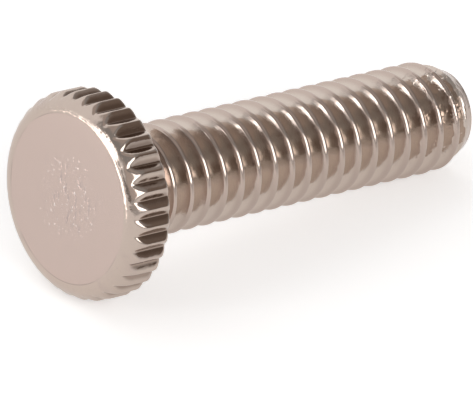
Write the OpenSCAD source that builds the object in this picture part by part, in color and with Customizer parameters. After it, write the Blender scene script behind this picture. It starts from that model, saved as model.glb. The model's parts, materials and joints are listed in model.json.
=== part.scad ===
// Knurled thumb screw, turned, rolled and plated as one piece.
// It is built standing on its head and then laid on its side, as it comes to
// rest on a bench: on two ridges of the knurl and on a crest near the tip.

/* [Head] */
// Diameter over the ridges of the knurl
head_d = 7.6; // [6.5:0.1:14]
// Height of the head, from its flat face to the bearing face
head_h = 1.72; // [1.4:0.02:5]
// Height over which the shoulder rounds down to the flat face
shoulder_h = 0.77; // [0.4:0.01:0.8]
// Radius of the shoulder's rounding
shoulder_r = 0.81; // [0.8:0.01:1.2]
// Radius that rounds the back edge of the rim, more than a groove's depth
rear_r = 0.32; // [0.31:0.01:0.5]

/* [Knurl] */
// Number of straight grooves around the rim
groove_count = 36; // [24:1:44]
// Depth of a groove
groove_depth = 0.22; // [0.1:0.01:0.3]
// Width of a groove at the rim
groove_w = 0.5; // [0.2:0.01:0.58]

/* [Thread] */
// Diameter over the crests
thread_d = 4.08; // [3:0.01:5]
// Distance from one crest to the next
pitch = 0.79375; // [0.5:0.00625:1]
// Length under the head
thread_h = 16.2; // [6:0.1:40]
// Groove between two crests, inwards
thread_depth = 0.487; // [0.3:0.001:0.6]
// Width of a crest
crest_w = 0.1; // [0.05:0.01:0.15]
// Angle between the two flanks
flank_angle = 60; // [40:1:62]
// Angle at which a crest crosses the flat face's level
thread_start = 187; // [0:1:359]
// Length over which the groove runs out towards the head
runout_h = 0.9; // [0.4:0.1:2]

/* [Neck] */
// Height of the plain neck under the head
neck_h = 0.12; // [0.05:0.01:0.6]
// How far the neck stands out past the crests, so that a plate seats on the head
neck_step = 0.02; // [0.01:0.01:0.5]

/* [Tip] */
// Bevel at the tip, along the axis
tip_bevel_h = 1.03; // [0.4:0.01:1.6]
// Bevel at the tip, inwards, past the bottom of the thread's groove
tip_bevel_w = 0.505; // [0.49:0.005:0.9]

/* [Hidden] */
$fn = 96;

nickel = [0.76, 0.71, 0.68];
margin = 0.5;
turn_steps = 40;

head_r = head_d / 2;
thread_r = thread_d / 2;
neck_r = thread_r + neck_step;
tip_r = thread_r - tip_bevel_w;
screw_h = head_h + thread_h;
groove_step = 360 / groove_count;

// Corners of the thread's section over one pitch, from a crest's head side:
// [height above the first corner, depth below the crest]
flank_w = thread_depth * tan(flank_angle / 2);
THREAD_CORNERS = [
    [0, 0],
    [crest_w, 0],
    [crest_w + flank_w, thread_depth],
    [pitch - flank_w, thread_depth],
];
corner_count = len(THREAD_CORNERS);

// The helix starts inside the head and ends past the tip
helix_z = crest_z(0) - crest_w / 2;
helix_turns = ceil((screw_h - helix_z) / pitch) + 1;
helix_steps = helix_turns * turn_steps;

// The screw lies on the heel, which is the back end of the two ridges beside a
// groove, and on the crest that reaches the bench first
heel_z = head_h - rear_r;
heel_r = sqrt(pow(head_r, 2) - pow(groove_w / 2, 2));
rest_slope = min([
    for (turn = [1:helix_turns], side = [-1, 1])
        let (z = crest_z(turn) + side * crest_w / 2)
            if (z > head_h + neck_h + runout_h && z < screw_h)
                (heel_r - crest_r(z)) / (z - heel_z)
]);
rest_tilt = atan(rest_slope);
rest_back_x = -face_r() * sin(rest_tilt);
rest_front_x = screw_h * cos(rest_tilt) + tip_r * sin(rest_tilt);

// Radius of the flat face, where the shoulder's rounding meets it
function face_r() =
    head_r - shoulder_r + sqrt(pow(shoulder_r, 2) - pow(shoulder_h, 2));

// Height of the middle of a crest on the side that the screw lies on
function crest_z(turn) = pitch * (turn + thread_start / 360);

// Radius of a crest at a height, full or cut by the bevel at the tip
function crest_r(z) =
    min(thread_r, tip_r + (screw_h - z) * tip_bevel_w / tip_bevel_h);

// Share of its full depth that the thread's groove has at a height
function groove_share(z) =
    min(1, max(0, (z - head_h - neck_h) / runout_h));

// Point of the thread after so many steps along the helix, at one corner
function thread_point(step, corner) =
    let (
        z = helix_z + pitch * step / turn_steps + corner[0],
        r = thread_r - corner[1] * groove_share(z),
        angle = 360 * step / turn_steps
    )
    [r * cos(angle), r * sin(angle), z];

// Number of a point: past the last corner comes the first of the next turn
function point_at(step, corner) =
    corner < corner_count
        ? step * corner_count + corner
        : point_at(step + turn_steps, corner - corner_count);

// Closes an end of the thread from one point on the axis
function end_fan(first_step, centre) =
    let (
        rim = [for (step = [first_step : first_step + turn_steps]) point_at(step, 0)],
        back = [for (corner = [corner_count - 1 : -1 : 0]) point_at(first_step, corner)],
        loop = concat(rim, back)
    )
    [for (i = [0 : len(loop) - 2]) [centre, loop[i], loop[i + 1]]];

function flipped(faces) = [for (face = faces) [face[2], face[1], face[0]]];

// Rolled thread: one band of corners carried along the helix
module thread() {
    band_steps = helix_steps - turn_steps;
    corners = [
        for (step = [0:helix_steps], corner = THREAD_CORNERS)
            thread_point(step, corner)
    ];
    low_centre = len(corners);
    high_centre = low_centre + 1;
    centres = [[0, 0, helix_z], [0, 0, helix_z + pitch * helix_turns]];
    sides = [
        for (step = [0 : band_steps - 1], corner = [0 : corner_count - 1])
            let (
                a = point_at(step, corner),
                b = point_at(step + 1, corner),
                c = point_at(step + 1, corner + 1),
                d = point_at(step, corner + 1)
            )
            each [[a, c, b], [a, d, c]]
    ];
    polyhedron(
        points = concat(corners, centres),
        faces = concat(
            sides,
            end_fan(0, low_centre),
            flipped(end_fan(band_steps, high_centre))
        ),
        convexity = 10
    );
}

// Round bar that clears the crests and is pointed at the bevel of the tip
module tip_envelope() {
    bar_r = thread_r + margin;
    bevel_slope = tip_bevel_h / tip_bevel_w;
    rotate_extrude()
        polygon([
            [0, 0],
            [bar_r, 0],
            [bar_r, screw_h - (bar_r - tip_r) * bevel_slope],
            [tip_r, screw_h],
            [0, screw_h],
        ]);
}

// Half of the head's section, from the flat face up to the bearing face
module head_section() {
    intersection() {
        square([head_r, head_h]);
        union() {
            square([head_r - shoulder_r, head_h]);
            translate([head_r - shoulder_r, shoulder_h])
                circle(r = shoulder_r);
            translate([0, shoulder_h])
                square([head_r, heel_z - shoulder_h]);
            translate([head_r - rear_r, heel_z])
                circle(r = rear_r);
        }
    }
}

// V grooves that run the whole height of the rim
module knurl_grooves() {
    cut_r = head_r + margin;
    cut_w = groove_w * (cut_r - head_r + groove_depth) / groove_depth;
    for (i = [0 : groove_count - 1])
        rotate(i * groove_step)
            translate([0, 0, -margin])
                linear_extrude(head_h + 2 * margin)
                    polygon([
                        [head_r - groove_depth, 0],
                        [cut_r, -cut_w / 2],
                        [cut_r, cut_w / 2],
                    ]);
}

module head() {
    difference() {
        rotate_extrude()
            head_section();
        knurl_grooves();
    }
}

module thumb_screw() {
    color(nickel)
        translate([-(rest_back_x + rest_front_x) / 2, 0, 0])
            translate([0, 0, heel_r * cos(rest_tilt) + heel_z * sin(rest_tilt)])
                rotate([0, 90 + rest_tilt, 0])
                    union() {
                        head();
                        cylinder(h = head_h + neck_h, r = neck_r);
                        intersection() {
                            thread();
                            tip_envelope();
                        }
                    }
}

thumb_screw();
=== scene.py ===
"""Knurled thumb screw in bright nickel plate, lying on its side on a pale bench."""

import json
import math

import bpy
from mathutils import Matrix, Vector


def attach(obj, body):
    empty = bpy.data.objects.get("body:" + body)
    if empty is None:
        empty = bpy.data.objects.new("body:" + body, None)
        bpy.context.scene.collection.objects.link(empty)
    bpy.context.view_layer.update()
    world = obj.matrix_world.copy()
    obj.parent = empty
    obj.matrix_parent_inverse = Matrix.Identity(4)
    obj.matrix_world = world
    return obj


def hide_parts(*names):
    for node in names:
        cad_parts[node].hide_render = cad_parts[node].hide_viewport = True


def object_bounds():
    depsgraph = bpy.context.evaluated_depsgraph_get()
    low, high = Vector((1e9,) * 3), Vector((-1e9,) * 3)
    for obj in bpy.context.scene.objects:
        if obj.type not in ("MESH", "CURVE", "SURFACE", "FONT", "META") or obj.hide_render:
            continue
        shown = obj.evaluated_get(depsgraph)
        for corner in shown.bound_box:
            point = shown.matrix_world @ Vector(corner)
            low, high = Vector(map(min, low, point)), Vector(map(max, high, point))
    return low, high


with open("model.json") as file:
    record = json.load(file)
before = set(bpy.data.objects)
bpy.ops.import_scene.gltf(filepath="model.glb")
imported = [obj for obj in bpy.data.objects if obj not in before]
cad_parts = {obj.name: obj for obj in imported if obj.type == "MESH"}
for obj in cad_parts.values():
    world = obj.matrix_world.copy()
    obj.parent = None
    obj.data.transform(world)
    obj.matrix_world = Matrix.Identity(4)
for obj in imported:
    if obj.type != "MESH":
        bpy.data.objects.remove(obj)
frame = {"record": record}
cad_low, cad_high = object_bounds()

# Where the frame has the screw: its axis runs from the flat face to the tip
mounts = {mount["name"]: mount for mount in frame["record"]["mounts"]}
face_centre = Vector(mounts["head_face"]["pos_m"])
seat_centre = Vector(mounts["thread"]["pos_m"])
tip_centre = Vector(mounts["tip_end"]["pos_m"])
screw_axis = Vector(mounts["thread"]["axis"])

# The screw is made standing on its face, in millimetres, and then laid down.
# Its side at angle 0 is the one that lies on the bench.
MM = 0.001
bench_side = Vector((screw_axis.z, 0, -screw_axis.x))
right_side = screw_axis.cross(bench_side)
laid_down = (
    Matrix.Translation(face_centre)
    @ Matrix((bench_side, right_side, screw_axis)).transposed().to_4x4()
    @ Matrix.Scale(MM, 4)
)

# Head, in millimetres. The flat face meets the shoulder in a fillet, and the
# core is the small disc in the middle that closes it.
HEAD_H = (seat_centre - face_centre).length / MM
HEAD_R = 3.8
SHOULDER_H = 0.77
SHOULDER_R = 0.81
REAR_R = 0.32
FACE_FILLET_R = 0.62
FILLET_DROP = SHOULDER_H - FACE_FILLET_R
FILLET_REACH = SHOULDER_R - FACE_FILLET_R
FLAT_R = HEAD_R - SHOULDER_R + math.sqrt(FILLET_REACH**2 - FILLET_DROP**2)
# Width of the painted shade line round the flat face's edge
FACE_EDGE_SHADE_W = 0.06
FACE_CORE_R = 0.4
SEAT_EDGE_R = 3.0
NECK_RING_W = 0.2

# Knurl
GROOVES = 36
GROOVE_DEPTH = 0.22
GROOVE_W = 0.5
RIDGE_SOFTNESS = 0.12
GROOVE_FLOOR_R = 0.012
COLUMNS_PER_GROOVE = 20

# Neck and thread. A crest is rounded wide towards the head and tight towards the
# tip, and its flanks are hollow by FLANK_HOLLOW degrees at each end.
SCREW_H = (tip_centre - face_centre).length / MM
PITCH = 0.79375
THREAD_R = mounts["thread"]["dims"]["r_mm"]
THREAD_DEPTH = 0.487
FLANK_ANGLE = 60
CREST_HEAD_R = 0.14
CREST_TIP_R = 0.05
FLANK_HOLLOW = 4
THREAD_START = 187 / 360
NECK_R = 2.0
NECK_H = 0.18
FILLET_R = 0.15
RUNOUT_H = 1.4
CREST_RISE_H = 1.8
STEPS_PER_TURN = 96

# Tip
TIP_R = 1.535
TIP_BEVEL_H = 1.03
TIP_BEVEL_W = 0.505
TIP_SOFTNESS = 0.08
TIP_EDGE_R = 0.12
TIP_EDGE_STEPS = 5
TIP_INSET = 0.9
TIP_PLAIN_H = 0.15

# How far apart points may lie, in millimetres, and still count as one place
SEAM_MERGE = 0.0005
HELIX_MERGE = 0.002
CUT_MERGE = 0.004
RING_SLACK = 0.01
SURFACE_SLACK = 0.001

SMOOTH_ANGLE = 50


def soft_min(a, b, softness):
    """The smaller of two lengths, with a rounded corner where they cross."""
    blend = max(softness - abs(a - b), 0) / softness
    return min(a, b) - blend * blend * softness / 4


def smooth_step(low, high, x):
    """0 below low and 1 above high, with soft ends; downwards if low is larger."""
    t = min(1, max(0, (x - low) / (high - low)))
    return t * t * (3 - 2 * t)


# ---------------------------------------------------------------- mesh tools


def start_section(name, radius, height):
    """A new piece in edit mode, holding one selected point of its section."""
    bpy.ops.object.select_all(action="DESELECT")
    bpy.ops.mesh.primitive_plane_add(size=0.1, location=(0, 0, 0))
    piece = bpy.context.object
    piece.name = piece.data.name = name
    bpy.ops.object.mode_set(mode="EDIT")
    bpy.ops.mesh.select_mode(type="VERT")
    bpy.ops.mesh.merge(type="CENTER")
    bpy.ops.transform.translate(value=(radius, 0, height))
    return piece


def draw_line(radius_step, height_step, steps=1):
    """Extrudes the selected point along a straight stretch of the section."""
    step = (radius_step / steps, 0, height_step / steps)
    for _ in range(steps):
        bpy.ops.mesh.extrude_region_move(TRANSFORM_OT_translate={"value": step})


def draw_arc(centre, degrees, steps):
    """Spins the selected point round a centre given as (radius, height)."""
    bpy.ops.mesh.spin(
        steps=steps,
        angle=math.radians(degrees),
        center=(centre[0], 0, centre[1]),
        axis=(0, 1, 0),
        use_auto_merge=False,
    )


def draw_curve(start, heading, radius, degrees, steps):
    """An arc that leaves its start at a heading, in degrees from straight outwards."""
    across = radius * math.sin(math.radians(heading))
    along = radius * math.cos(math.radians(heading))
    draw_arc((start[0] - across, start[1] + along), degrees, steps)


def revolve(columns):
    """Spins the whole section once round the screw's axis and closes the seam."""
    bpy.ops.mesh.select_all(action="SELECT")
    bpy.ops.mesh.spin(
        steps=columns,
        angle=math.tau,
        center=(0, 0, 0),
        axis=(0, 0, 1),
        use_auto_merge=False,
    )
    bpy.ops.mesh.select_all(action="SELECT")
    bpy.ops.mesh.remove_doubles(threshold=SEAM_MERGE)


def select_edges(piece, wanted):
    """Selects the edges whose two ends both pass a test on their place."""
    bpy.ops.mesh.select_all(action="DESELECT")
    bpy.ops.object.mode_set(mode="OBJECT")
    points = piece.data.vertices
    passed = [wanted(point.co) for point in points]
    for edge in piece.data.edges:
        edge.select = all(passed[i] for i in edge.vertices)
    bpy.ops.object.mode_set(mode="EDIT")
    bpy.ops.mesh.select_mode(type="EDGE")


def ring_at(radius, height, slack=0.003):
    """A test for points on a ring round the axis."""
    return lambda co: (
        abs(math.hypot(co.x, co.y) - radius) < slack and abs(co.z - height) < slack
    )


def select_open_rings(piece, heights):
    """Selects the edges that have a face on one side only, at these heights."""
    bpy.ops.mesh.select_mode(type="EDGE")
    bpy.ops.mesh.select_all(action="DESELECT")
    bpy.ops.mesh.select_non_manifold(
        extend=False,
        use_wire=False,
        use_boundary=True,
        use_multi_face=False,
        use_non_contiguous=False,
        use_verts=False,
    )
    bpy.ops.object.mode_set(mode="OBJECT")
    points = piece.data.vertices
    for edge in piece.data.edges:
        if edge.select:
            middle_z = (points[edge.vertices[0]].co.z + points[edge.vertices[1]].co.z) / 2
            edge.select = any(abs(middle_z - height) < RING_SLACK for height in heights)
    bpy.ops.object.mode_set(mode="EDIT")


# ---------------------------------------------------------------- the head


def turned_head():
    """The head's blank: flat face, rounded shoulder, rim and flat back."""
    fillet_end = math.degrees(math.asin(FILLET_DROP / FILLET_REACH))
    heel_z = HEAD_H - REAR_R

    head = start_section("head", FACE_CORE_R, 0)
    draw_line(FLAT_R - FACE_CORE_R, 0, steps=6)
    draw_arc((FLAT_R, FACE_FILLET_R), 90 - fillet_end, 8)
    draw_arc((HEAD_R - SHOULDER_R, SHOULDER_H), fillet_end, 18)
    draw_line(0, heel_z - SHOULDER_H, steps=4)
    draw_arc((HEAD_R - REAR_R, heel_z), 90, 10)
    draw_line(SEAT_EDGE_R - HEAD_R + REAR_R, 0, steps=2)
    revolve(GROOVES * COLUMNS_PER_GROOVE)

    select_edges(head, ring_at(FACE_CORE_R, 0))
    bpy.ops.mesh.edge_face_add()
    bpy.ops.object.mode_set(mode="OBJECT")
    return head


def roll_knurl(head):
    """Presses V grooves into the rim, each as deep as the blank stands out."""
    spacing = math.tau / GROOVES
    floor_r = HEAD_R - GROOVE_DEPTH
    slope = 2 * GROOVE_DEPTH / GROOVE_W
    depth_share = head.data.attributes.new("depth_share", "FLOAT", "POINT").data
    for point in head.data.vertices:
        x, y, z = point.co
        blank_r = math.hypot(x, y)
        if blank_r < floor_r - RIDGE_SOFTNESS:
            continue
        angle = math.atan2(y, x)
        offset = angle - spacing * round(angle / spacing)
        across = math.hypot(math.sin(offset), GROOVE_FLOOR_R) - GROOVE_FLOOR_R
        wall_r = floor_r / (math.cos(offset) - slope * across)
        rolled_r = soft_min(blank_r, wall_r, RIDGE_SOFTNESS)
        # How deeply the point is pressed in, as a share of the groove; the rim's material paints
        # shade into the grooves by it
        depth_share[point.index].value = (blank_r - rolled_r) / GROOVE_DEPTH
        point.co = (x * rolled_r / blank_r, y * rolled_r / blank_r, z)


# ---------------------------------------------------------------- the shank


def turned_neck():
    """The fillet under the head and the plain neck above it."""
    neck = start_section("neck", SEAT_EDGE_R - NECK_RING_W, HEAD_H)
    draw_line(NECK_R + FILLET_R - SEAT_EDGE_R + NECK_RING_W, 0)
    draw_arc((NECK_R + FILLET_R, HEAD_H + FILLET_R), -90, 8)
    revolve(STEPS_PER_TURN)
    bpy.ops.object.mode_set(mode="OBJECT")
    return neck


def rolled_thread():
    """One pitch of the thread's section, carried up the helix and shaped."""
    steep = FLANK_ANGLE / 2 - FLANK_HOLLOW
    shallow = FLANK_ANGLE / 2 + FLANK_HOLLOW
    edge_share = math.sin(math.radians(steep))
    slope = math.tan(math.radians(FLANK_ANGLE / 2))
    head_flank_h = THREAD_DEPTH - CREST_HEAD_R * (1 - edge_share)
    tip_flank_h = THREAD_DEPTH - CREST_TIP_R * (1 - edge_share)
    head_edge_w = CREST_HEAD_R * math.cos(math.radians(steep))
    tip_edge_w = CREST_TIP_R * math.cos(math.radians(steep))
    hollow_r = -1 / (
        2 * math.sin(math.radians(FLANK_HOLLOW)) * math.cos(math.radians(FLANK_ANGLE / 2))
    )
    first_turn = math.floor((HEAD_H + NECK_H) / PITCH - THREAD_START - 0.5)
    crest_z = PITCH * (first_turn + THREAD_START)
    turns = math.ceil((SCREW_H - crest_z) / PITCH) + 1

    root_r = THREAD_R - THREAD_DEPTH
    head_flank_z = crest_z - head_edge_w - head_flank_h * slope
    tip_edge = (root_r + tip_flank_h, crest_z + tip_edge_w)
    thread = start_section("thread", root_r, crest_z - PITCH / 2)
    draw_line(0, head_flank_z - crest_z + PITCH / 2)
    draw_curve((root_r, head_flank_z), shallow, hollow_r * head_flank_h, -2 * FLANK_HOLLOW, 4)
    draw_arc((THREAD_R - CREST_HEAD_R, crest_z), 90 - steep, 7)
    draw_arc((THREAD_R - CREST_TIP_R, crest_z), 90 - steep, 4)
    draw_curve(tip_edge, 180 - steep, hollow_r * tip_flank_h, -2 * FLANK_HOLLOW, 4)
    draw_line(0, PITCH / 2 - tip_edge_w - tip_flank_h * slope)
    bpy.ops.object.mode_set(mode="OBJECT")

    helix = thread.modifiers.new("helix", "SCREW")
    helix.axis = "Z"
    helix.angle = math.tau
    helix.screw_offset = PITCH
    helix.iterations = turns
    helix.steps = helix.render_steps = STEPS_PER_TURN
    helix.use_merge_vertices = False
    bpy.ops.object.modifier_apply(modifier=helix.name)
    bpy.ops.object.mode_set(mode="EDIT")
    bpy.ops.mesh.select_all(action="SELECT")
    bpy.ops.mesh.remove_doubles(threshold=HELIX_MERGE)
    bpy.ops.object.mode_set(mode="OBJECT")
    return thread


def shape_thread(thread):
    """Fades the groove out towards the neck and points the tip."""
    neck_z = HEAD_H + NECK_H
    bevel_slope = TIP_BEVEL_W / TIP_BEVEL_H
    depth_share = thread.data.attributes.new("depth_share", "FLOAT", "POINT").data
    for point in thread.data.vertices:
        x, y, z = point.co
        radius = math.hypot(x, y)
        crest_r = NECK_R + (THREAD_R - NECK_R) * smooth_step(neck_z, neck_z + CREST_RISE_H, z)
        depth = (THREAD_R - radius) * smooth_step(neck_z, neck_z + RUNOUT_H, z)
        depth *= smooth_step(SCREW_H - TIP_PLAIN_H, SCREW_H - 3 * TIP_PLAIN_H, z)
        bevel_r = TIP_R + (SCREW_H - z) * bevel_slope
        shaped_r = soft_min(crest_r - depth, bevel_r, TIP_SOFTNESS)
        # How deep the groove is here, as a share of the thread; the thread's material paints its
        # groove bottoms lighter by it
        depth_share[point.index].value = depth / THREAD_DEPTH
        point.co = (x * shaped_r / radius, y * shaped_r / radius, z)


def trim_thread(thread):
    """Cuts the thread's two ends square and rounds off the tip."""
    bpy.context.view_layer.objects.active = thread
    bpy.ops.object.mode_set(mode="EDIT")
    for height, normal in ((HEAD_H + NECK_H, -1), (SCREW_H - TIP_EDGE_R, 1)):
        bpy.ops.mesh.select_all(action="SELECT")
        bpy.ops.mesh.bisect(
            plane_co=(0, 0, height),
            plane_no=(0, 0, normal),
            clear_outer=True,
            threshold=CUT_MERGE,
        )
    select_open_rings(thread, [SCREW_H - TIP_EDGE_R])
    for step in range(1, TIP_EDGE_STEPS + 1):
        turn = math.pi / 2 * step / TIP_EDGE_STEPS
        before = math.pi / 2 * (step - 1) / TIP_EDGE_STEPS
        rise = TIP_EDGE_R * (math.sin(turn) - math.sin(before))
        old_r = TIP_R - TIP_EDGE_R * (1 - math.cos(before))
        new_r = TIP_R - TIP_EDGE_R * (1 - math.cos(turn))
        bpy.ops.mesh.extrude_region_move(TRANSFORM_OT_translate={"value": (0, 0, rise)})
        bpy.ops.transform.resize(
            value=(new_r / old_r, new_r / old_r, 1),
            center_override=(0, 0, 0),
        )
    bpy.ops.mesh.extrude_region_move(TRANSFORM_OT_translate={"value": (0, 0, 0)})
    bpy.ops.transform.resize(value=(TIP_INSET, TIP_INSET, 1), center_override=(0, 0, 0))
    bpy.ops.mesh.edge_face_add()
    bpy.ops.object.mode_set(mode="OBJECT")


def join_screw(head, neck, thread):
    """Joins head, neck and thread and bridges their open rings."""
    bpy.ops.object.select_all(action="DESELECT")
    for part in (head, neck, thread):
        part.select_set(True)
    bpy.context.view_layer.objects.active = head
    bpy.ops.object.join()
    screw = bpy.context.object
    screw.name = screw.data.name = "plated_screw"
    bpy.ops.object.mode_set(mode="EDIT")
    select_open_rings(screw, [HEAD_H])
    bpy.ops.mesh.bridge_edge_loops()
    select_open_rings(screw, [HEAD_H + FILLET_R, HEAD_H + NECK_H])
    bpy.ops.mesh.bridge_edge_loops()
    bpy.ops.mesh.select_all(action="SELECT")
    bpy.ops.mesh.normals_make_consistent(inside=False)
    bpy.ops.object.mode_set(mode="OBJECT")
    return screw


def lay_down(screw):
    """Puts the standing screw where it lies, with its place in its mesh."""
    screw.matrix_world = laid_down
    bpy.ops.object.select_all(action="DESELECT")
    screw.select_set(True)
    bpy.context.view_layer.objects.active = screw
    bpy.ops.object.transform_apply(location=True, rotation=True, scale=True)
    bpy.ops.object.shade_smooth_by_angle(angle=math.radians(SMOOTH_ANGLE))


# ---------------------------------------------------------------- finishes

# Tones as linear red, green, blue and opacity
NICKEL_FACE = (0.585, 0.467, 0.418, 1)
NICKEL_RIM = (0.57, 0.472, 0.41, 1)
# The thread's own tone, on its crests and upper flanks
NICKEL_THREAD_TONE = (0.54, 0.44, 0.385, 1)
NICKEL_DULL = (0.54, 0.44, 0.39, 1)
# Painted light: a lighter tone towards the bottoms of the thread's grooves, lifting the shade
# between its flanks
NICKEL_PAINTED_GROOVE_LIGHT = (0.64, 0.55, 0.485, 1)
# Painted shade: a dark brown laid into the bottoms of the knurl's grooves
NICKEL_PAINTED_GROOVE_SHADE = (0.36, 0.28, 0.235, 1)
# Painted shade: the dark line round the edge of the flat face
NICKEL_PAINTED_EDGE_SHADE = (0.42, 0.33, 0.29, 1)
NICKEL_STREAK = (0.50, 0.40, 0.37, 1)
NICKEL_SPECK = (0.80, 0.72, 0.69, 1)

# Depths and widths in millimetres, noise scales per millimetre. A range is where
# the noise starts to count and where it counts in full.
PIT_DEPTH = 0.009
LUMP_SCALE = 4.0
LUMP_SHARE = 0.8
LUMP_RANGE = (0.45, 0.75)
LUMPY_TIP_H = 4.0
SMUDGE_RANGE = (0.45, 0.75)
SPOT_FINENESS = 9.0
SPOT_RANGE = (0.6, 0.8)
PATCH_RAG_SCALE = 1.1
PATCH_RAG_W = 1.6
PATCH_FULL_W = 0.3
PATCH_FADE_W = 1.5
STREAK_STRETCH = 0.3
STREAK_RANGE = (0.5, 0.68)
SPECK_FINENESS = 1.2
SPECK_RANGE = (0.71, 0.77)
# Noise that breaks up the painted shade line round the face's edge
EDGE_SHADE_NOISE_SCALE = 0.45
EDGE_SHADE_NOISE_RANGE = (0.42, 0.62)


def new_group(name, inputs, outputs):
    """An empty shader group with named sockets, as [(name, type, value)]."""
    group = bpy.data.node_groups.new(name, "ShaderNodeTree")
    for socket_name, kind, value in inputs:
        socket = group.interface.new_socket(socket_name, in_out="INPUT", socket_type=kind)
        if value is not None:
            socket.default_value = value
    for socket_name, kind in outputs:
        group.interface.new_socket(socket_name, in_out="OUTPUT", socket_type=kind)
    entry = group.nodes.new("NodeGroupInput")
    leave = group.nodes.new("NodeGroupOutput")
    return group, entry, leave


def add_node(tree, kind, links=None, **settings):
    """A node with its settings, and its inputs linked or set by name or number."""
    node = tree.nodes.new(kind)
    for key, value in settings.items():
        setattr(node, key, value)
    for key, value in (links or {}).items():
        if isinstance(value, bpy.types.NodeSocket):
            tree.links.new(value, node.inputs[key])
        else:
            node.inputs[key].default_value = value
    return node


def add_math(tree, operation, a, b=0.0, clamp=False):
    """One sum on two values, each a number or a socket."""
    node = add_node(tree, "ShaderNodeMath", {0: a, 1: b}, operation=operation)
    node.use_clamp = clamp
    return node.outputs[0]


def add_noise(tree, place, scale, detail=2.0, roughness=0.5):
    """Smooth noise at a place, as a number round 0.5."""
    node = add_node(
        tree,
        "ShaderNodeTexNoise",
        {"Vector": place, "Scale": scale, "Detail": detail, "Roughness": roughness},
    )
    return node.outputs["Fac"]


def add_ramp(tree, value, low, high):
    """0 below low and 1 above high, with soft ends."""
    node = add_node(
        tree,
        "ShaderNodeMapRange",
        {"Value": value, "From Min": low, "From Max": high},
        interpolation_type="SMOOTHSTEP",
    )
    return node.outputs["Result"]


def mix_colours(tree, factor, a, b):
    """Colour a where the factor is 0 and b where it is 1; each a colour or a socket."""
    mix = add_node(tree, "ShaderNodeMix", {"Factor": factor}, data_type="RGBA")
    ends = [socket for socket in mix.inputs if socket.type == "RGBA"]
    for end, colour in zip(ends, (a, b)):
        if isinstance(colour, bpy.types.NodeSocket):
            tree.links.new(colour, end)
        else:
            end.default_value = colour
    return next(socket for socket in mix.outputs if socket.type == "RGBA")


def axis_distance(tree, place):
    """How far a place on the standing screw is from its axis."""
    flat = add_node(tree, "ShaderNodeVectorMath", {0: place, 1: (1, 1, 0)}, operation="MULTIPLY")
    length = add_node(tree, "ShaderNodeVectorMath", {0: flat.outputs[0]}, operation="LENGTH")
    return length.outputs["Value"]


def plating_ripple_group():
    """The slow waves and small grains of a barrel-plated surface, as a height."""
    group, entry, leave = new_group(
        "plating_ripple",
        [
            ("Place", "NodeSocketVector", None),
            ("Wave Scale", "NodeSocketFloat", 1.0),
            ("Grain Scale", "NodeSocketFloat", 12.0),
            ("Grain Share", "NodeSocketFloat", 0.15),
        ],
        [("Height", "NodeSocketFloat")],
    )
    place = entry.outputs["Place"]
    waves = add_noise(group, place, entry.outputs["Wave Scale"], 1.0)
    grains = add_noise(group, place, entry.outputs["Grain Scale"], 2.0)
    grains = add_math(group, "MULTIPLY", grains, entry.outputs["Grain Share"])
    lumps = add_ramp(group, add_noise(group, place, LUMP_SCALE, 1.0), *LUMP_RANGE)
    along = add_node(group, "ShaderNodeSeparateXYZ", {0: place}).outputs["Z"]
    near_tip = add_ramp(group, along, SCREW_H - LUMPY_TIP_H, SCREW_H)
    lumps = add_math(group, "MULTIPLY", add_math(group, "MULTIPLY", lumps, near_tip), LUMP_SHARE)
    height = add_math(group, "ADD", add_math(group, "ADD", waves, grains), lumps)
    group.links.new(height, leave.inputs["Height"])
    return group


def handling_marks_group():
    """Where fingers and other screws have dulled the plating, from 0 to 1."""
    group, entry, leave = new_group(
        "handling_marks",
        [
            ("Place", "NodeSocketVector", None),
            ("Scale", "NodeSocketFloat", 1.5),
            ("Amount", "NodeSocketFloat", 1.0),
        ],
        [("Mask", "NodeSocketFloat")],
    )
    place, scale = entry.outputs["Place"], entry.outputs["Scale"]
    smudges = add_ramp(group, add_noise(group, place, scale, 3.0), *SMUDGE_RANGE)
    fine_scale = add_math(group, "MULTIPLY", scale, SPOT_FINENESS)
    spots = add_ramp(group, add_noise(group, place, fine_scale, 1.0), *SPOT_RANGE)
    both = add_math(group, "MAXIMUM", smudges, spots)
    mask = add_math(group, "MULTIPLY", both, entry.outputs["Amount"], clamp=True)
    group.links.new(mask, leave.inputs["Mask"])
    return group


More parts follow.
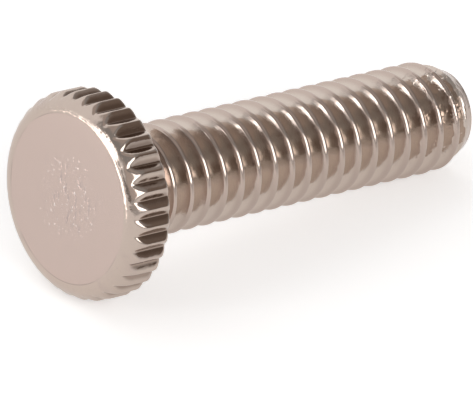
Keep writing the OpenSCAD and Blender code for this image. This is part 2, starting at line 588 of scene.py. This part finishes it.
def pitted_patch_group():
    """Short pressed streaks and bright specks that crowd round the middle of a face."""
    group, entry, leave = new_group(
        "pitted_patch",
        [
            ("Place", "NodeSocketVector", None),
            ("Radius", "NodeSocketFloat", 1.3),
            ("Streak Scale", "NodeSocketFloat", 6.0),
            ("Streak Turn", "NodeSocketVector", (0, 0, 0.5)),
        ],
        [
            ("Height", "NodeSocketFloat"),
            ("Streaks", "NodeSocketFloat"),
            ("Specks", "NodeSocketFloat"),
        ],
    )
    place, radius = entry.outputs["Place"], entry.outputs["Radius"]
    ragged = add_math(group, "MULTIPLY", add_noise(group, place, PATCH_RAG_SCALE, 2.0), PATCH_RAG_W)
    edge = add_math(group, "ADD", axis_distance(group, place), ragged)
    inside = add_math(group, "ADD", radius, PATCH_FULL_W)
    far = add_math(group, "ADD", radius, PATCH_FADE_W)
    patch = add_math(group, "SUBTRACT", 1.0, add_ramp(group, edge, inside, far))
    drawn_out = add_node(
        group,
        "ShaderNodeMapping",
        {
            "Vector": place,
            "Rotation": entry.outputs["Streak Turn"],
            "Scale": (STREAK_STRETCH, 1, 1),
        },
    ).outputs[0]
    streaks = add_ramp(
        group, add_noise(group, drawn_out, entry.outputs["Streak Scale"], 3.0), *STREAK_RANGE
    )
    speck_scale = add_math(group, "MULTIPLY", entry.outputs["Streak Scale"], SPECK_FINENESS)
    specks = add_ramp(group, add_noise(group, place, speck_scale, 0.0), *SPECK_RANGE)
    streaks = add_math(group, "MULTIPLY", streaks, patch)
    specks = add_math(group, "MULTIPLY", specks, patch)
    group.links.new(add_math(group, "SUBTRACT", specks, streaks), leave.inputs["Height"])
    group.links.new(streaks, leave.inputs["Streaks"])
    group.links.new(specks, leave.inputs["Specks"])
    return group


def screw_place(tree):
    """The place on the standing screw in millimetres, from Object coordinates."""
    coordinates = add_node(tree, "ShaderNodeTexCoord").outputs["Object"]
    mapping = add_node(
        tree,
        "ShaderNodeMapping",
        {
            "Vector": coordinates,
            "Location": laid_down.to_translation(),
            "Rotation": laid_down.to_euler(),
            "Scale": (MM, MM, MM),
        },
        vector_type="TEXTURE",
    )
    return mapping.outputs[0]


def add_group(tree, name, place, **values):
    """A copy of a shared group at a place, with its named inputs set."""
    node = add_node(tree, "ShaderNodeGroup", node_tree=groups[name])
    tree.links.new(place, node.inputs["Place"])
    for key, value in values.items():
        node.inputs[key.replace("_", " ")].default_value = value
    return node.outputs


def new_nickel(name, tone, smooth, dull, ripple, handled, groove_tone=None, patched=False):
    """Nickel plate of a tone, its roughness from smooth to dull, and how it ripples.

    Handled is how much of the wear shows, from 0 to 1.
    The groove tone is painted towards the bottom of a groove, as painted shade in the knurl and
    painted light in the thread, with the depths at which it starts and is full, as shares of the
    groove.
    """
    material = bpy.data.materials.new(name)
    material.use_nodes = True
    tree = material.node_tree
    tree.nodes.clear()
    place = screw_place(tree)
    shader = add_node(tree, "ShaderNodeBsdfPrincipled", {"Metallic": 1.0})

    mark = add_group(tree, "handling_marks", place, Amount=handled)["Mask"]
    nickel = mix_colours(tree, mark, tone, NICKEL_DULL)
    if groove_tone:
        painted_groove_tone, starts, full = groove_tone
        depth_share = add_node(tree, "ShaderNodeAttribute", attribute_name="depth_share").outputs["Fac"]
        reach = add_ramp(tree, depth_share, starts, full)
        nickel = mix_colours(tree, reach, nickel, painted_groove_tone)
    roughness = add_node(
        tree, "ShaderNodeMapRange", {"Value": mark, "To Min": smooth, "To Max": dull}
    ).outputs["Result"]

    depth_mm, scale, grain = ripple
    height = add_group(tree, "plating_ripple", place, Wave_Scale=scale, Grain_Share=grain)
    bump = add_node(
        tree, "ShaderNodeBump", {"Height": height["Height"], "Distance": depth_mm * MM}
    )
    normal = bump.outputs[0]
    if patched:
        # A painted shade line round the flat face's edge, broken up by noise
        edge = add_ramp(tree, axis_distance(tree, place), FLAT_R - FACE_EDGE_SHADE_W, FLAT_R)
        shade_breakup = add_ramp(tree, add_noise(tree, place, EDGE_SHADE_NOISE_SCALE, 1.0), *EDGE_SHADE_NOISE_RANGE)
        edge = add_math(tree, "MULTIPLY", edge, shade_breakup)
        nickel = mix_colours(tree, edge, nickel, NICKEL_PAINTED_EDGE_SHADE)
        patch = add_group(tree, "pitted_patch", place)
        nickel = mix_colours(tree, patch["Streaks"], nickel, NICKEL_STREAK)
        nickel = mix_colours(tree, patch["Specks"], nickel, NICKEL_SPECK)
        pits = add_node(
            tree,
            "ShaderNodeBump",
            {"Height": patch["Height"], "Distance": PIT_DEPTH * MM, "Normal": normal},
        )
        normal = pits.outputs[0]
    tree.links.new(nickel, shader.inputs["Base Color"])
    tree.links.new(roughness, shader.inputs["Roughness"])
    tree.links.new(normal, shader.inputs["Normal"])
    output = add_node(tree, "ShaderNodeOutputMaterial")
    tree.links.new(shader.outputs[0], output.inputs["Surface"])
    return material


def dress(screw):
    """Gives the face, the knurled rim and the shank their own finish."""
    for material in (face_nickel, rim_nickel, thread_nickel):
        screw.data.materials.append(material)
    for polygon in screw.data.polygons:
        along = (polygon.center - face_centre).dot(screw_axis) / MM
        out = (polygon.center - face_centre - screw_axis * along * MM).length / MM
        if along < SURFACE_SLACK and out < FLAT_R:
            polygon.material_index = 0
        elif along < HEAD_H + SURFACE_SLACK:
            polygon.material_index = 1
        else:
            polygon.material_index = 2


# ---------------------------------------------------------------- the studio

# Where the view is taken from: angles in degrees, lengths in metres, and the lens
# in millimetres. The aim is shifted from the middle of the screw's box.
VIEW_AZIMUTH = -41.157
VIEW_ELEVATION = 28.381
VIEW_ROLL = 2.342
VIEW_DISTANCE = 0.3583
AIM_RIGHT = -0.000736
AIM_UP = -0.002580
LENS = 761.1

# The bench reflects BENCH_SHADE of the light and glows by BENCH_LIFT. In the
# metal's shine it dims towards an azimuth, from near to far, over a distance.
BENCH_SHADE = 0.92
BENCH_LIFT = 0.4
BENCH_DIM_AZIMUTH = -60
BENCH_LIT_MM = 2
BENCH_DIM_MM = 32
BENCH_NEAR = 0.87
BENCH_FAR = 0.57

# Pools of light on the bench, ahead along an azimuth and in millimetres: the
# middle aside, how far to each side it fades out, where it starts and is full
# ahead, and its light
POOL_AZIMUTH = 149
BENCH_POOLS = [
    (-4.5, 16, 40, 52, 2.2),
    (-10, 4, 25, 30, 3.4),
]

ROOM_LIGHT = 0.34
NEUTRAL = (1, 1, 1)
WARM = (1.1, 1.0, 0.95)
BROWN = (1.25, 1.0, 0.85)
# Azimuth, half width, lowest and highest elevation and softness, in degrees,
# then light and tint
ROOM_WINDOWS = [
    (0, 181, -99, 12, 16, 0.48, NEUTRAL),
    (92, 58, -99, 66, 14, 1.0, NEUTRAL),
    (90, 200, 64, 99, 18, 0.45, WARM),
    (-50, 20, -99, 30, 10, 0.15, BROWN),
    (-16, 28, 20, 50, 12, 0.16, BROWN),
    (15, 14, 30, 48, 12, 0.3, WARM),
    (-108, 30, 15, 42, 10, 1.5, NEUTRAL),
    (-150, 20, 8, 36, 10, 0.55, WARM),
    (-104, 26, 8, 40, 8, 3.4, NEUTRAL),
    (-175, 14, -99, 9, 8, 0.2, WARM),
    (179, 7, 12, 32, 8, 0.9, NEUTRAL),
    (169, 6, 18, 36, 6, 4.0, NEUTRAL),
    (161, 6, 6, 26, 6, 4.0, NEUTRAL),
    (153, 6, -6, 14, 6, 3.5, NEUTRAL),
    (145, 7, -99, 4, 6, 3.0, NEUTRAL),
    (0, 181, -99, -2, 3, 1.0, NEUTRAL),
]


def direction(azimuth, elevation):
    """Unit vector towards a compass angle from +X and a height, in degrees."""
    a, e = math.radians(azimuth), math.radians(elevation)
    return Vector((math.cos(a) * math.cos(e), math.sin(a) * math.cos(e), math.sin(e)))


def set_camera():
    """Looks at the screw from its head end, a little from above."""
    middle = (cad_low + cad_high) / 2
    back = direction(VIEW_AZIMUTH - 90, VIEW_ELEVATION)
    level = back.to_track_quat("Z", "Y").to_matrix()
    turned = level @ Matrix.Rotation(math.radians(VIEW_ROLL), 3, "Z")
    right, up = turned.col[0], turned.col[1]
    aim = middle + right * AIM_RIGHT + up * AIM_UP
    data = bpy.data.cameras.new("camera")
    data.lens = LENS
    data.clip_start = 0.01
    data.clip_end = 10
    camera = bpy.data.objects.new("camera", data)
    bpy.context.scene.collection.objects.link(camera)
    camera.matrix_world = Matrix.Translation(aim + back * VIEW_DISTANCE) @ turned.to_4x4()
    bpy.context.scene.camera = camera


def distance_along(tree, place, azimuth):
    """How far a place on the bench lies towards an azimuth."""
    turn = math.radians(azimuth)
    heading = (math.cos(turn), math.sin(turn), 0)
    node = add_node(tree, "ShaderNodeVectorMath", {0: place, 1: heading}, operation="DOT_PRODUCT")
    return node.outputs["Value"]


def set_floor():
    """A pale bench: white to the camera, and in the metal's shine it dims in front
    of the screw and is bright where the side window's light falls on it."""
    bpy.ops.object.select_all(action="DESELECT")
    bpy.ops.mesh.primitive_plane_add(size=6, location=(0, 0, 0))
    floor = bpy.context.object
    floor.name = "floor"
    material = bpy.data.materials.new("pale_bench")
    material.use_nodes = True
    tree = material.node_tree
    tree.nodes.clear()
    place = add_node(tree, "ShaderNodeTexCoord").outputs["Object"]
    ray = add_node(tree, "ShaderNodeLightPath").outputs
    lit = add_node(
        tree,
        "ShaderNodeMapRange",
        {
            "Value": distance_along(tree, place, BENCH_DIM_AZIMUTH),
            "From Min": BENCH_LIT_MM * MM,
            "From Max": BENCH_DIM_MM * MM,
            "To Min": BENCH_NEAR,
            "To Max": BENCH_FAR,
        },
        interpolation_type="SMOOTHSTEP",
    ).outputs["Result"]
    ahead = distance_along(tree, place, POOL_AZIMUTH)
    aside = distance_along(tree, place, POOL_AZIMUTH - 90)
    pools = 0.0
    for middle, width, start, full, light in BENCH_POOLS:
        off = add_math(tree, "ABSOLUTE", add_math(tree, "SUBTRACT", aside, middle * MM))
        past = add_ramp(tree, off, 0.5 * width * MM, width * MM)
        spread = add_math(tree, "SUBTRACT", 1.0, past)
        reach = add_ramp(tree, ahead, start * MM, full * MM)
        pool = add_math(tree, "MULTIPLY", add_math(tree, "MULTIPLY", reach, spread), light)
        pools = add_math(tree, "MAXIMUM", pools, pool)
    shine = add_math(tree, "SUBTRACT", add_math(tree, "ADD", lit, pools), 1.0)
    shine = add_math(tree, "ADD", add_math(tree, "MULTIPLY", shine, ray["Is Glossy Ray"]), 1.0)
    shade = add_math(tree, "MULTIPLY", shine, BENCH_SHADE)
    paint = add_node(tree, "ShaderNodeBsdfDiffuse", {"Color": shade})
    seen = add_math(tree, "MAXIMUM", ray["Is Camera Ray"], ray["Is Glossy Ray"])
    seen = add_math(tree, "MAXIMUM", seen, ray["Is Transmission Ray"])
    lift = add_math(tree, "MULTIPLY", add_math(tree, "MULTIPLY", seen, shine), BENCH_LIFT)
    lift = add_node(tree, "ShaderNodeEmission", {"Strength": lift})
    both = add_node(tree, "ShaderNodeAddShader", {0: paint.outputs[0], 1: lift.outputs[0]})
    add_node(tree, "ShaderNodeOutputMaterial", {"Surface": both.outputs[0]})
    floor.data.materials.append(material)


def studio_window_group():
    """A soft-edged rectangle of the room, 1 inside and 0 outside, by direction."""
    group, entry, leave = new_group(
        "studio_window",
        [
            ("Direction", "NodeSocketVector", None),
            ("Azimuth", "NodeSocketFloat", 0.0),
            ("Half Width", "NodeSocketFloat", 20.0),
            ("Low", "NodeSocketFloat", 0.0),
            ("High", "NodeSocketFloat", 30.0),
            ("Softness", "NodeSocketFloat", 6.0),
        ],
        [("Mask", "NodeSocketFloat")],
    )
    source = entry.outputs
    to_radians = math.radians(1)
    turn = add_math(group, "MULTIPLY", source["Azimuth"], -to_radians)
    turned = add_node(
        group,
        "ShaderNodeVectorRotate",
        {"Vector": source["Direction"], "Angle": turn},
        rotation_type="Z_AXIS",
    ).outputs[0]
    part = add_node(group, "ShaderNodeSeparateXYZ", {0: turned}).outputs
    sideways = add_math(group, "ABSOLUTE", add_math(group, "ARCTAN2", part["Y"], part["X"]))
    sideways = add_math(group, "DIVIDE", sideways, to_radians)
    upwards = add_math(group, "DIVIDE", add_math(group, "ARCSINE", part["Z"]), to_radians)
    masks = []
    for past in (
        add_math(group, "SUBTRACT", source["Half Width"], sideways),
        add_math(group, "SUBTRACT", upwards, source["Low"]),
        add_math(group, "SUBTRACT", source["High"], upwards),
    ):
        share = add_math(group, "DIVIDE", past, source["Softness"])
        masks.append(add_ramp(group, share, -0.5, 0.5))
    mask = add_math(group, "MULTIPLY", add_math(group, "MULTIPLY", *masks[:2]), masks[2])
    group.links.new(mask, leave.inputs["Mask"])
    return group


def light_room():
    """The room round the bench: each window of it is painted over the last."""
    world = bpy.data.worlds.new("studio")
    world.use_nodes = True
    tree = world.node_tree
    tree.nodes.clear()
    towards = add_node(tree, "ShaderNodeTexCoord").outputs["Generated"]
    window_group = studio_window_group()
    room = (*[ROOM_LIGHT] * 3, 1)
    for azimuth, half_width, low, high, softness, light, tint in ROOM_WINDOWS:
        colour = (*[light * share for share in tint], 1)
        window = add_node(tree, "ShaderNodeGroup", node_tree=window_group)
        tree.links.new(towards, window.inputs["Direction"])
        window.inputs["Azimuth"].default_value = azimuth
        window.inputs["Half Width"].default_value = half_width
        window.inputs["Low"].default_value = low
        window.inputs["High"].default_value = high
        window.inputs["Softness"].default_value = softness
        room = mix_colours(tree, window.outputs["Mask"], room, colour)
    background = add_node(tree, "ShaderNodeBackground", {"Color": room})
    add_node(tree, "ShaderNodeOutputWorld", {"Surface": background.outputs[0]})
    bpy.context.scene.world = world


# ---------------------------------------------------------------- the scene

set_camera()
set_floor()
light_room()

groups = {
    "plating_ripple": plating_ripple_group(),
    "handling_marks": handling_marks_group(),
    "pitted_patch": pitted_patch_group(),
}
face_nickel = new_nickel(
    "satin_nickel_face",
    NICKEL_FACE,
    smooth=0.22,
    dull=0.3,
    ripple=(0.002, 0.8, 0.15),
    handled=0.3,
    patched=True,
)
rim_nickel = new_nickel(
    "bright_nickel_rim",
    NICKEL_RIM,
    smooth=0.12,
    dull=0.2,
    ripple=(0.016, 3.0, 0.1),
    handled=1.0,
    # painted shade towards the bottoms of the knurl's grooves
    groove_tone=(NICKEL_PAINTED_GROOVE_SHADE, 0.25, 0.75),
)
thread_nickel = new_nickel(
    "bright_nickel_thread",
    NICKEL_THREAD_TONE,
    smooth=0.15,
    dull=0.22,
    ripple=(0.014, 2.0, 0.08),
    handled=1.0,
    # painted light towards the bottoms of the thread's grooves
    groove_tone=(NICKEL_PAINTED_GROOVE_LIGHT, 0.1, 0.5),
)

head = turned_head()
roll_knurl(head)
neck = turned_neck()
thread = rolled_thread()
shape_thread(thread)
trim_thread(thread)
screw = join_screw(head, neck, thread)
lay_down(screw)
dress(screw)
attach(screw, "root")
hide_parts("thumb_screw")

bpy.context.scene.view_settings.view_transform = "Standard"
